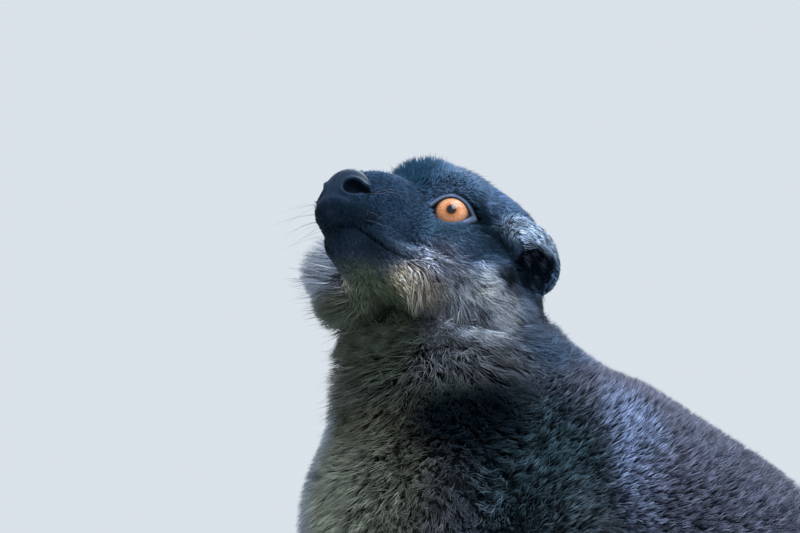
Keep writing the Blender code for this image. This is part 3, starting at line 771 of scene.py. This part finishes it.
def skin_material():
    """Under the coat dull and dark; where bare, pebbled leather with a slight gloss."""
    made, tree, shader = nodes_of("skin")
    colour = node(tree, "ShaderNodeAttribute", attribute_name="coat_colour")
    bare_here = node(tree, "ShaderNodeAttribute", attribute_name="bare")
    mottled = node(tree, "ShaderNodeGroup", node_tree=HAIR_TONE, Scale=420.0, Strength=0.35)
    place = node(tree, "ShaderNodeTexCoord")
    pebbles = node(tree, "ShaderNodeTexVoronoi", feature="SMOOTH_F1", Scale=1500.0)
    gloss = node(tree, "ShaderNodeMapRange", To_Min=0.85, To_Max=0.55)
    bump = node(tree, "ShaderNodeBump", Strength=0.35, Distance=0.00025)
    wire(
        tree,
        (colour, "Color", mottled, "Colour"), (mottled, "Colour", shader, "Base Color"),
        (place, "Object", pebbles, "Vector"), (pebbles, "Distance", bump, "Height"),
        (bump, "Normal", shader, "Normal"), (bare_here, "Fac", gloss, "Value"),
        (gloss, "Result", shader, "Roughness"),
    )
    set_up(shader, Specular_IOR_Level=0.16, Specular_Tint=(0.5, 0.72, 1, 1))
    return made


skin.data.materials.append(skin_material())
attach(skin, "root")
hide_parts(*FLESH)

# ------------------------------------------------------------------ eyes
# Glossy balls with an amber iris of fine rays, a small pupil, and nearly black beyond the iris.
IRIS_RIM, PUPIL = 45.0, 10.5  # degrees from the gaze


def globe(rings, turns):
    """A ball's directions (cos a, sin a cos t, sin a sin t), its angles a and t, and its triangles,
    with a single point at each end of the axis."""
    ends = np.linspace(0, 2 * np.pi, turns + 1)[:-1]
    away, turn = (v.ravel() for v in np.meshgrid(np.linspace(0, np.pi, rings), ends, indexing="ij"))
    step = np.arange((rings - 1) * turns)
    beside = step // turns * turns + (step + 1) % turns
    quads = np.stack([step + turns, beside + turns, beside, step], -1)
    faces = np.concatenate([quads[:, :3], quads[:, (0, 2, 3)]])
    faces = np.where(faces < turns, 0, np.minimum(faces, (rings - 1) * turns))
    whole = (faces != np.roll(faces, 1, axis=1)).all(1)
    used, faces = np.unique(faces[whole], return_inverse=True)
    away, turn = away[used], turn[used]
    way = np.stack([np.cos(away), np.sin(away) * np.cos(turn), np.sin(away) * np.sin(turn)], -1)
    return way, away, turn, faces.reshape(-1, 3)


def eyeball(side):
    """A ball about the gaze that swells by 0.5 mm over the iris as the cornea does."""
    way, away, turn, faces = globe(73, 96)
    swell = EYEBALL + 0.5 * crease(away, 0.62)
    grid = (swell[:, None] * way) @ np.array((GAZE, EYE_OUT, EYE_UP))
    grid = (grid + EYE_MIDDLE) * (1, side, 1)
    made = shown(f"eye_ball_{'left' if side > 0 else 'right'}", from_head(grid), faces[:, ::side])
    value(made, "away", np.degrees(away))
    rays = np.stack([np.cos(turn) * 3, np.sin(turn) * 3, away * 1.2], -1)
    paint(made, "rays", rays * 0.1 + 0.5)
    return made


def eye_material():
    """Rings of colour by the angle from the gaze, under streaks that run along the iris's rays."""
    made, tree, shader = nodes_of("eye")
    away = node(tree, "ShaderNodeAttribute", attribute_name="away")
    rays = node(tree, "ShaderNodeAttribute", attribute_name="rays")
    share = node(tree, "ShaderNodeMath", operation="DIVIDE")
    share.inputs[1].default_value = 90.0
    streaks = node(tree, "ShaderNodeTexNoise", Scale=42.0, Detail=5.0, Roughness=0.65)
    shade = node(tree, "ShaderNodeMapRange", From_Min=0.3, From_Max=0.7, To_Min=0.5, To_Max=1.4)
    bands = node(tree, "ShaderNodeValToRGB")
    band_colours = bands.color_ramp
    stops = (  # share of a quarter turn from the gaze, and colour
        (0.0, (0.004, 0.004, 0.005)),
        ((PUPIL - 0.8) / 90, (0.004, 0.004, 0.005)),
        ((PUPIL + 1.2) / 90, (0.13, 0.035, 0.012)),
        (0.17, (0.5, 0.17, 0.05)),
        (0.28, (0.66, 0.28, 0.14)),
        (0.4, (0.54, 0.23, 0.11)),
        ((IRIS_RIM - 2) / 90, (0.24, 0.09, 0.04)),
        ((IRIS_RIM + 1.5) / 90, (0.02, 0.012, 0.012)),
        (0.62, (0.03, 0.024, 0.026)),
    )
    while len(band_colours.elements) < len(stops):
        band_colours.elements.new(0.5)
    for stop, (at, colour) in zip(band_colours.elements, stops):
        stop.position, stop.color = at, (*colour, 1)
    tinted = node(tree, "ShaderNodeVectorMath", operation="SCALE")
    wire(
        tree,
        (away, "Fac", share, 0), (share, 0, bands, "Fac"), (rays, "Vector", streaks, "Vector"),
        (streaks, "Fac", shade, "Value"), (bands, "Color", tinted, 0),
        (shade, "Result", tinted, "Scale"), (tinted, 0, shader, "Base Color"),
    )
    set_up(
        shader, Roughness=0.25, Coat_Weight=1.0, Coat_Roughness=0.02, Coat_IOR=1.4,
        Specular_IOR_Level=0.05,
    )
    return made


EYE = eye_material()
for side, name in ((1, "left"), (-1, "right")):
    eye = eyeball(side)
    eye.data.materials.append(EYE)
    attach(eye, "root")
    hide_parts(f"eye_{name}")

# ------------------------------------------------------------------ the coat
# Overlapping tufts of hair: each a thin closed spindle from its root in the skin, bent over where it
# is widest, with neighbours drawn together at their tips into locks.
# Middle lines: behind, right of and above the point below the eyes.
TRUNK_LINE = np.array(((8, 0, 272), (43, 0, 219), (127, 0, 165), (193, 0, 78), (201, 0, 19)), float)
ARM_LINE = np.array(((38, 46, 150), (45, 46, 118), (7, 44, 38), (0, 43, 14), (-60, 43, 5)), float)
LEG_LINE = np.array(((200, 38, 74), (82, 90, 112), (168, 70, 24), (75, 75, 5)), float)
LINES = (  # each with about how far its part reaches from it
    (TRUNK_LINE, 66), (ARM_LINE, 22), (ARM_LINE * (1, -1, 1), 22),
    (LEG_LINE, 33), (LEG_LINE * (1, -1, 1), 33), (TAIL_LINE, 24),
)


def along_line(p, line):
    """Distance from a line of straight stretches, how far along it the nearest point is, and that point."""
    near, best, spot = np.full(len(p), 1e9), np.zeros(len(p)), np.zeros_like(p)
    start = 0.0
    for a, b in zip(line, line[1:]):
        length = np.linalg.norm(b - a)
        t = np.clip((p - a) @ (b - a) / length**2, 0, 1)
        here = a + t[:, None] * (b - a)
        distance = np.linalg.norm(p - here, axis=1)
        closer = distance < near
        near, best = np.where(closer, distance, near), np.where(closer, start + t * length, best)
        spot = np.where(closer[:, None], here, spot)
        start += length
    return near, best, spot


def regions(p):
    """The number of the coat piece that each point belongs to."""
    head, room = to_head(p), p - UNDER_EYES
    ear = ball((fold(head) - EAR_MIDDLE) @ EAR_AXES.T, (0, 0, 0), EAR_SIZE) < 1.8
    ways_off = np.stack([along_line(room, line)[0] / size for line, size in LINES])
    limb = ways_off.argmin(0)
    trunk_at = along_line(room, TRUNK_LINE)[1]
    left = room[:, 1] < 0
    body = np.select(
        [limb == 5, (limb == 1) | (limb == 2), limb >= 3, trunk_at < 52, trunk_at < 145],
        [12, 10, 11, 5, np.where(left, 6, 7)], np.where(left, 8, 9),
    )
    face = np.select([ear, head[:, 0] > 10, head[:, 2] > -9], [0, 1, 2], np.where(head[:, 1] > 0, 3, 4))
    return np.where(above_neck(p) > 0, face, body)


PIECES = (  # name, tufts, slot
    ("coat_ears", 7000, "dark_coat"), ("coat_muzzle", 20000, "dark_coat"),
    ("coat_crown", 27000, "dark_coat"), ("coat_cheek_left", 30000, "coat"),
    ("coat_cheek_right", 22000, "coat"), ("coat_neck", 32000, "coat"),
    ("coat_chest_left", 33000, "coat"), ("coat_chest_right", 12000, "coat"),
    ("coat_back_left", 22000, "coat"), ("coat_back_right", 13000, "coat"), ("coat_arms", 8000, "coat"),
    ("coat_legs", 13000, "coat"), ("coat_tail", 10000, "tail_coat"),
)
PATCH = np.array(((0, 0), (-1, 1.2), (1, 1.2), (0, 1.6), (0, 3)))  # a tuft on its map, in thousandths
FLOOR_GAP = 0.3  # mm of air under the lowest hair
STRAY = 0.05  # share of hairs that stand out of their locks
BELOW_BEND, ABOVE_BEND = 0.42, 0.58  # shares of a hair's length
LOCK_SWING, HAIR_SWING = 0.3, 0.13  # how far locks and hairs turn off the lie, in radians
ANGLE_SPREAD = 6  # degrees
LENGTHS, HALF_WIDTHS = (0.84, 1.12), (0.35, 0.65)  # least and greatest share of the kind's
HELD, LOOSER = 0.85, 0.6  # how far tips are drawn back into the solids, and how much less for strays
TONE_AT = 0.65  # how far along a hair its marking is read
ROOT_TO_TIP = (0.5, 0.9, 0.9, 1.0, 1.2)  # brightness at the five corners
SPINDLE = np.array(((0, 2, 1), (0, 3, 2), (0, 1, 3), (4, 1, 2), (4, 2, 3), (4, 3, 1)))


def unwrapped(p, number):
    """Each root's place on the skin laid flat: round and along the head, the trunk, a limb or the tail,
    stretched to fill the map."""
    if number < 5:
        head = to_head(p) - (-8, 0, -8)
        if number == 0:
            head = (fold(to_head(p)) - EAR_MIDDLE) @ EAR_AXES.T
        along = np.arctan2(np.hypot(head[:, 1], head[:, 2]), head[:, 0])
        turned = np.arctan2(head[:, 1], head[:, 2])
        sheet = 4.0 * (to_head(p)[:, 1] > 0) * (number == 0)
    else:
        room = p - UNDER_EYES
        line, sheet = {10: ARM_LINE, 11: LEG_LINE, 12: TAIL_LINE}.get(number, TRUNK_LINE), 0.0
        if number in (10, 11):
            sheet = 8.0 * (room[:, 1] > 0)
            room[:, 1] = np.abs(room[:, 1])
        _, along, spot = along_line(room, line)
        off = room - spot
        turned = np.arctan2(off[:, 1], off[:, 2])
        if number == 12:
            turned = np.arctan2(off[:, 2], np.hypot(off[:, 0], off[:, 1]))
    flat = np.stack([turned + sheet, along], 1)
    return 0.004 + 0.988 * (flat - flat.min(0)) / np.ptp(flat, axis=0)


def roots(chosen, count, rng):
    """Places spread evenly over the chosen faces: sampled by area, then one kept to each small cell."""
    corner = points[faces[chosen]]
    area = np.linalg.norm(np.cross(corner[:, 1] - corner[:, 0], corner[:, 2] - corner[:, 0]), axis=1) / 2
    area = area * (1 - bare[faces[chosen]].mean(1)) ** 2
    picked = rng.choice(len(chosen), int(count * 2.2), p=area / area.sum())
    a, b = rng.random((2, len(picked), 1))
    flip = a + b > 1
    a, b = np.where(flip, 1 - a, a), np.where(flip, 1 - b, b)
    share = np.concatenate([1 - a - b, a, b], 1)
    ids = faces[chosen[picked]]
    place = (points[ids] * share[..., None]).sum(1)
    size = math.sqrt(area.sum() / count) * 0.8
    _, first = np.unique(np.floor(place / size).astype(np.int64), axis=0, return_index=True)
    extra = rng.permutation(np.setdiff1d(np.arange(len(place)), first))[: max(count - len(first), 0)]
    keep = np.concatenate([rng.permutation(first)[:count], extra])
    share, ids = share[keep, :, None], ids[keep]
    normal = (normals[ids] * share).sum(1)
    return place[keep], normal / np.linalg.norm(normal, axis=1, keepdims=True), (reach[ids] * share).sum(1)


def unit(v):
    """Each row made 1 long."""
    return v / np.maximum(np.linalg.norm(v, axis=1, keepdims=True), 1e-9)


def locks(place, clump, rng):
    """The number of the lock that each root is in, a jittered cell of the clump's size."""
    wobble = 0.45 * np.sin(place[:, [1, 2, 0]] * 2.1 / clump + rng.random(3) * 6)
    cell = np.floor(place / clump + wobble).astype(np.int64)
    return np.unique(cell, axis=0, return_inverse=True)[1].reshape(-1)


def gathered(values, number):
    """The mean of each lock's values, given back to each of its tufts."""
    count = np.bincount(number)
    return np.stack([np.bincount(number, column) / count for column in values.T], 1)[number]


def held_in(spots):
    """The spots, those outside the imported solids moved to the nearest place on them."""
    loose = shown("spots", spots, np.empty((0, 3), np.int32))
    hold = loose.modifiers.new("hold", "SHRINKWRAP")
    hold.wrap_method = "NEAREST_SURFACEPOINT"
    hold.wrap_mode = "INSIDE"
    hold.target = tips
    applied(loose)
    held = np.empty(len(spots) * 3)
    loose.data.vertices.foreach_get("co", held)
    bpy.data.objects.remove(loose)
    return held.reshape(-1, 3) / MM


def grown(place, out, reach_here, rng):
    """Each tuft's corners, and its lock's lightness. A tuft leaves the skin at the kind's first angle
    and bends over to the second; its lock's mean and then the solids draw its tip in."""
    n = len(place)
    way, kind = lie(place)
    longest, width, lift, lay, curl, clump, drawn = (kind[:, k : k + 1] for k in range(1, 8))
    lock = locks(place, clump, rng)
    shared = rng.normal(size=(lock.max() + 1, 3))[lock]
    way = unit(way - out * (way * out).sum(1, keepdims=True))
    side = np.cross(out, way)
    swing = LOCK_SWING * shared[:, :1] * (0.4 + curl * 3) + rng.normal(0, HAIR_SWING, (n, 1))
    way = unit(way * np.cos(swing) + side * np.sin(swing))
    side = np.cross(out, way)
    lift, lay = (np.radians(a + rng.normal(0, ANGLE_SPREAD, (n, 1))) for a in (lift, lay))
    bend = rng.normal(0, 1, (n, 1)) * curl * 1.5 + shared[:, 1:2] * curl
    tall = BELOW_BEND * np.sin(lift) + ABOVE_BEND * np.sin(np.maximum(lay, 0.1))
    stray = rng.random((n, 1)) < STRAY
    length = np.minimum(reach_here / tall, longest) * rng.uniform(*LENGTHS, (n, 1)) * (1 + 0.2 * stray)
    middle = place + BELOW_BEND * length * (np.cos(lift) * way + np.sin(lift) * out)
    onward = unit(way * np.cos(bend) + side * np.sin(bend))
    tip = middle + ABOVE_BEND * length * (np.cos(lay) * onward + np.sin(lay) * out)
    tip += drawn * (gathered(tip, lock) - tip)
    tip += (HELD - LOOSER * stray) * (held_in(tip) - tip)
    middle += 0.35 * drawn * (gathered(middle, lock) - middle)
    broad = unit(np.cross(unit(tip - place), out))
    high = np.cross(broad, unit(tip - place))
    half = width * rng.uniform(*HALF_WIDTHS, (n, 1)) * (1 - 0.4 * stray)
    corners = np.stack([
        place - 0.5 * out,
        middle + half * broad - 0.3 * half * high,
        middle - half * broad - 0.3 * half * high,
        middle + 0.65 * half * high,
        tip,
    ], 1)
    return corners, shared[:, 2:]


def hair_colours(where, lightness, rng):
    """The markings at each tuft times exp(lock + own + grizzle (notch + band)), and paler to the tip;
    a lock is a dark notch where its lightness is least."""
    tone = markings(where)
    notch = -1.1 * (lightness < -0.95) + 0.35 * np.clip(lightness, -1, 1.5)
    light = 0.12 * lightness + rng.normal(0, 0.12, (len(where), 1))
    light = np.exp(light + tone[:, 3:] * (notch + 0.6 * rng.choice([-1.2, 0, 1], (len(where), 1))))
    colours = tone[:, None, :3] * light[:, None] * np.array(ROOT_TO_TIP)[:, None]
    return np.clip(colours.reshape(-1, 3), 0.002, 0.9)


def tufts(number, name, count):
    """One piece of the coat, its tufts worked out together as arrays."""
    rng = np.random.default_rng(100 + number)
    place, out, reach_here = roots(np.flatnonzero(region == number), count, rng)
    corners, lightness = grown(place, out, reach_here, rng)
    colours = hair_colours((1 - TONE_AT) * place + TONE_AT * corners[:, 4], lightness, rng)
    corners[..., 2] += np.maximum(FLOOR_GAP - corners[..., 2].min(1, keepdims=True), 0)
    mesh_faces = (np.arange(len(place))[:, None, None] * 5 + SPINDLE).reshape(-1, 3)
    piece = shown(name, corners.reshape(-1, 3), mesh_faces)
    paint(piece, "coat_colour", colours)
    flat = unwrapped(place, number)[:, None] + PATCH * 0.001
    layer = piece.data.uv_layers.new(name="OFBake")
    layer.uv.foreach_set("vector", flat.reshape(-1, 2)[mesh_faces.ravel()].astype(np.float32).ravel())
    piece.data.materials.append(HAIR)
    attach(piece, "root")


def hair_material():
    """Soft hair: the painted colour, mottled, with a faint gloss."""
    made, tree, shader = nodes_of("hair")
    colour = node(tree, "ShaderNodeAttribute", attribute_name="coat_colour")
    mottled = node(tree, "ShaderNodeGroup", node_tree=HAIR_TONE, Scale=90.0, Strength=0.3)
    wire(tree, (colour, "Color", mottled, "Colour"), (mottled, "Colour", shader, "Base Color"))
    set_up(shader, Roughness=0.6, Specular_IOR_Level=0.13, Specular_Tint=(0.35, 0.65, 1, 1))
    return made


HAIR = hair_material()
region = regions(points[faces].mean(1))
for number, (name, count, slot_name) in enumerate(PIECES):
    tufts(number, name, count)
bpy.data.objects.remove(tips)

# ------------------------------------------------------------------ whiskers
# Fine bristles on the muzzle and over the eyes, each a long tapering hair that droops towards its tip.
# Each row: root, spread of the roots, way, spread of the ways, length, root's radius, number on each side.
BRISTLES = (
    ((34, 8, -19), (5, 1.5, 3.5), (0.35, 0.8, -0.1), 0.25, 24, 0.055, 14),
    ((27, 12, -17), (6, 1, 3), (-0.85, 0.35, -0.15), 0.12, 10, 0.025, 8),
    ((3, 12, 9), (2, 3, 1), (0.35, 0.3, 0.85), 0.25, 17, 0.06, 4),
)
RINGS, SIDES = 9, 4  # of points along a bristle and round it


def whiskers():
    """Rings of points round root + t way + t^2 droop, their radius going as (1.04 - t)."""
    rng = np.random.default_rng(7)
    t = np.linspace(0, 1, RINGS)[:, None, None]
    turn = np.arange(SIDES) * 2 * np.pi / SIDES
    all_points = []
    for root, spread, way, fan, length, thick, count in BRISTLES:
        for side in (1, -1):
            start = np.array(root) + rng.uniform(-1, 1, (count, 3)) * spread
            start = settled(head_field, start * (1, side, 1), 8)
            ahead = unit(np.array(way) * (1, side, 1) + rng.normal(0, fan, (count, 3)))
            ahead = ahead * length * rng.uniform(0.6, 1.1, (count, 1))
            droop = np.array((-0.25, 0, -0.3)) * length * rng.uniform(0.4, 1, (count, 1))
            line = start + (t - 0.04) * ahead + t**2 * droop
            across = unit(np.cross(ahead, (0.2, 0, 1)))
            high = unit(np.cross(across, ahead))
            radius = thick * (1.04 - t[..., None])
            ring = across[:, None] * np.cos(turn)[:, None] + high[:, None] * np.sin(turn)[:, None]
            all_points.append((line[:, :, None] + radius * ring).transpose(1, 0, 2, 3).reshape(-1, 3))
    hairs = from_head(np.concatenate(all_points))
    whole = RINGS * SIDES
    row = np.arange(RINGS - 1)[:, None] * SIDES
    step, onward = row + np.arange(SIDES), row + (np.arange(SIDES) + 1) % SIDES
    quads = np.stack([step + SIDES, onward + SIDES, onward, step], -1).reshape(-1, 4)
    quads = np.concatenate([quads, (np.arange(SIDES), whole - 1 - np.arange(SIDES))])
    faces = (np.arange(len(hairs) // whole)[:, None, None] * whole + quads).reshape(-1, 4)
    return shown("whiskers", hairs, faces)


def two_toned(name, dark, light, roughness, scale, detail=2.0):
    """A material of one roughness that goes from dark to light with noise."""
    made, tree, shader = nodes_of(name)
    place = node(tree, "ShaderNodeTexCoord")
    noise = node(tree, "ShaderNodeTexNoise", Scale=scale, Detail=detail)
    tint = node(tree, "ShaderNodeMix", data_type="RGBA", A=(*dark, 1), B=(*light, 1))
    wire(
        tree,
        (place, "Object", noise, "Vector"), (noise, "Fac", tint, "Factor"),
        (tint, "Result", shader, "Base Color"),
    )
    set_up(shader, Roughness=roughness)
    return made


bristles = whiskers()
bristles.data.materials.append(two_toned("whisker", (0.04, 0.06, 0.09), (0.22, 0.26, 0.31), 0.4, 60.0))
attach(bristles, "root")

# ------------------------------------------------------------------ nails
# A small flat nail of dark horn lies on the end of each finger and toe; the second toe's is a
# narrow upright claw for grooming.
FINGERS = (  # and toes, from their roots to their tips: behind, right of and above the point below the eyes
    ((-8, 34, 6), (-20, 14, 4)), ((-33, 34, 6), (-60, 27, 4)), ((-38, 41, 6), (-68, 39, 4)),
    ((-37, 47, 6), (-67, 52, 4)), ((-32, 53, 6), (-55, 64, 4)), ((140, 62, 7), (110, 40, 5)),
    ((108, 65, 6), (82, 60, 4)), ((102, 71, 6), (72, 69, 4)), ((101, 78, 6), (70, 81, 4)),
    ((104, 84, 6), (77, 93, 4)),
)
NAIL_SIZE, CLAW_SIZE = (3.4, 2.5, 0.8), (3.6, 1.3, 1.2)
GROOMING_TOE = 6


def nails():
    """Each nail a ball flattened to its sizes, its sides bent down by y^2 / 8 and its end by x^2 / 12."""
    sphere, _, _, faces = globe(13, 16)
    all_points = []
    for number, (root, tip) in enumerate(FINGERS):
        claw = number == GROOMING_TOE
        local = sphere * (CLAW_SIZE if claw else NAIL_SIZE)
        local[:, 2] -= local[:, 1] ** 2 / 8 + local[:, 0] ** 2 / 12
        local[:, 2] += claw * 0.5 * np.maximum(local[:, 0], 0)
        along = unit((np.array(tip, float) - root)[None])[0]
        across = np.cross((0, 0, 1), along)
        axes = np.array((along, across, np.cross(along, across)))
        spot = local @ axes + np.array(tip) + 2.0 * along + (0, 0, 2.0)
        all_points += [spot * (1, side, 1) for side in (1, -1)]
    faces = [faces[:, :: (-1) ** k] + k * len(sphere) for k in range(len(all_points))]
    return shown("nails", np.concatenate(all_points) + UNDER_EYES, np.concatenate(faces))


claws = nails()
claws.data.materials.append(two_toned("horn", (0.01, 0.009, 0.009), (0.045, 0.04, 0.036), 0.35, 700.0, 3.0))
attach(claws, "root")

# ------------------------------------------------------------------ floor, light and camera
# A plain pale floor, large soft lights above and behind, a small one in front for the glint in the eye,
# and a long lens that looks up at the head from low on its left.
CAMERA_TURN, CAMERA_RISE, CAMERA_AWAY = math.radians(-34), math.radians(-8), 1.5
FRAME_WIDTH = 0.2963  # metres across the picture at the eyes
AIM_RIGHT, AIM_UP = -0.0077, -0.018  # metres from between the eyes to the middle of the picture

LAMPS = (  # name, place from the head in metres, width, watts
    ("key", (0.02, -0.32, 0.72), 0.6, 7.5),
    ("back", (0.6, 0.55, 0.5), 0.6, 10.5),
    ("catch", (-0.13, -0.39, 0.46), 0.3, 2.2),
)
SKY, SKY_STRENGTH, LAMP_COLOUR = (0.78, 0.84, 0.91, 1), 0.9, (0.78, 0.89, 1)


def studio():
    """Floor, sky, lamps turned to the head, and the camera."""
    scene = bpy.context.scene
    bpy.ops.mesh.primitive_grid_add(x_subdivisions=24, y_subdivisions=24, size=8)
    floor = bpy.context.object
    floor.name = "floor"
    floor.data.materials.append(two_toned("floor", (0.7, 0.7, 0.69), (0.75, 0.75, 0.74), 0.8, 900.0, 3.0))
    scene.world = bpy.data.worlds.new("studio")
    scene.world.use_nodes = True
    sky = scene.world.node_tree.nodes["Background"]
    sky.inputs["Color"].default_value = SKY
    sky.inputs["Strength"].default_value = SKY_STRENGTH
    head = Vector(from_head((-10, 0, 0)) * MM)
    for name, offset, size, power in LAMPS:
        lamp = bpy.data.lights.new(name, "AREA")
        lamp.size, lamp.energy, lamp.color = size, power, LAMP_COLOUR
        lit = bpy.data.objects.new(name, lamp)
        lit.location = head + Vector(offset)
        lit.rotation_euler = (-Vector(offset)).to_track_quat("-Z", "Y").to_euler()
        scene.collection.objects.link(lit)
    back = Vector((
        math.sin(CAMERA_TURN) * math.cos(CAMERA_RISE),
        -math.cos(CAMERA_TURN) * math.cos(CAMERA_RISE),
        math.sin(CAMERA_RISE),
    ))
    turn = (-back).to_track_quat("-Z", "Y")
    aim = Vector(BETWEEN_EYES * MM) + turn @ Vector((AIM_RIGHT, AIM_UP, 0))
    lens = bpy.data.cameras.new("camera")
    lens.sensor_width = 36
    lens.lens = 36 * CAMERA_AWAY / FRAME_WIDTH
    camera = bpy.data.objects.new("camera", lens)
    camera.location = aim + back * CAMERA_AWAY
    camera.rotation_mode = "QUATERNION"
    camera.rotation_quaternion = turn
    scene.collection.objects.link(camera)
    scene.camera = camera
    scene.view_settings.view_transform = "Standard"


studio()
